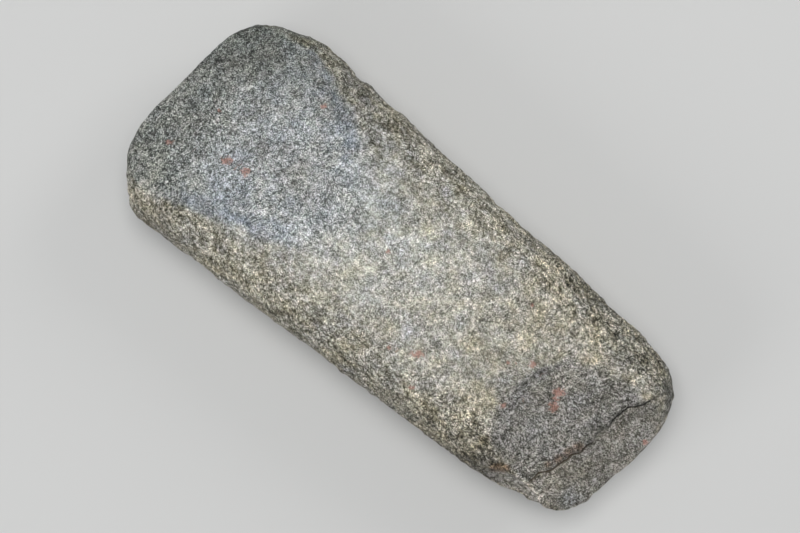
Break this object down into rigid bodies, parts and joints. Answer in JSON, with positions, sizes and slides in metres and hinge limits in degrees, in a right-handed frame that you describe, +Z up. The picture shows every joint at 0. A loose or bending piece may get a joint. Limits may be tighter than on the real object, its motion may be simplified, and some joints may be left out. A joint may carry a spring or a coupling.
{
  "type": "polished stone axe",
  "caption": "Pecked greenstone axe of round-oval section, ground to a cutting edge on both faces, with flake damage at the butt.",
  "frame": {"origin": "on the flat spot the axe lies on, under the middle of its length and width", "axes": "+X along the axe to the cutting edge, +Y across its width, +Z up through its thickness"},
  "size_m": [0.1592, 0.067, 0.0452],
  "materials": {
    "greenstone": "weathered pecked stone, smoother and darker where ground at the bit and broken at the butt"
  },
  "bodies": {
    "root": {"axe_head": "greenstone"}
  },
  "joints": []
}
